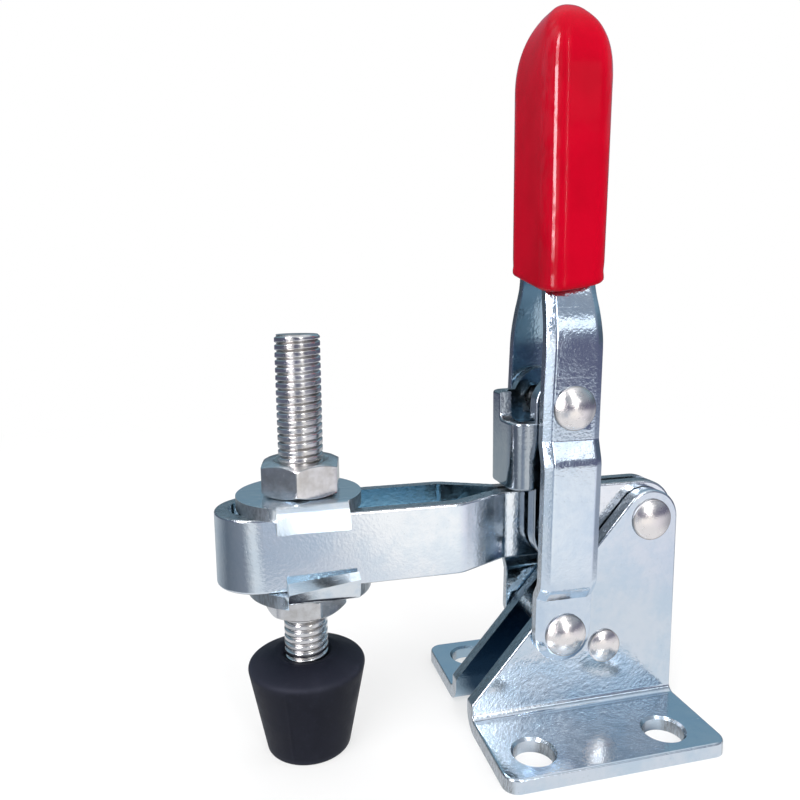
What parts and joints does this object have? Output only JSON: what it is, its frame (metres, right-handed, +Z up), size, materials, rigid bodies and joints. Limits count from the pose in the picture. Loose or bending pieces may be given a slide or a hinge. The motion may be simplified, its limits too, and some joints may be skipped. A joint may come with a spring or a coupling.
{
  "type": "vertical handle toggle clamp",
  "caption": "Hand-operated toggle clamp with an upright handle, flanged base, open clamping arm and an adjustable rubber-tipped spindle.",
  "frame": {"origin": "middle of the mounting holes, on the underside of the base", "axes": "+Z up from the base, the clamping arm points to -X, Y across the base plates"},
  "size_m": [0.0672, 0.036, 0.1009],
  "materials": {
    "zinc_sheet": "bright zinc plating",
    "rivet_steel": "smooth plated, domed",
    "spindle_steel": "rolled thread, satin",
    "grip_vinyl": "glossy dipped vinyl",
    "tip_rubber": "matt moulded rubber"
  },
  "bodies": {
    "base": {"base_plate_near": "zinc_sheet", "base_plate_far": "zinc_sheet", "spacer_rivet": "rivet_steel", "handle_pivot_rivet": "rivet_steel", "arm_pivot_rivet": "rivet_steel"},
    "handle": {"handle_strap_near": "zinc_sheet", "handle_strap_far": "zinc_sheet", "link_upper_rivet": "rivet_steel", "handle_grip": "grip_vinyl"},
    "arm": {"clamp_arm": "zinc_sheet", "link_lower_rivet": "rivet_steel"},
    "link": {"toggle_link": "zinc_sheet"},
    "spindle_clamp": {"washer_upper": "zinc_sheet", "washer_lower": "zinc_sheet", "nut_upper": "spindle_steel", "nut_lower": "spindle_steel"},
    "spindle": {"spindle": "spindle_steel", "rubber_tip": "tip_rubber"}
  },
  "joints": [
    {"name": "handle_swing", "type": "hinge", "parent": "base", "child": "handle", "pos_m": [-0.00225, 0, 0.0144], "axis": [0, 1, 0], "range_deg": [0, 57]},
    {"name": "arm_swing", "type": "hinge", "parent": "base", "child": "arm", "pos_m": [0.0124, 0, 0.0295], "axis": [0, 1, 0], "range_deg": [0, 91.3]},
    {"name": "link_swing", "type": "hinge", "parent": "arm", "child": "link", "pos_m": [-0.00225, 0, 0.029], "axis": [0, 1, 0], "range_deg": [0, 44]},
    {"name": "spindle_slide", "type": "slide", "parent": "arm", "child": "spindle_clamp", "axis": [1, 0, 0], "range_m": [-0.001, 0.0135]},
    {"name": "spindle_height", "type": "slide", "parent": "spindle_clamp", "child": "spindle", "axis": [0, 0, 1], "range_m": [-0.01, 0.0055]}
  ],
  "couplings": [
    {"joint": "arm_swing", "follows": "handle_swing", "ratio": 1.601},
    {"joint": "link_swing", "follows": "handle_swing", "ratio": 0.7719}
  ]
}
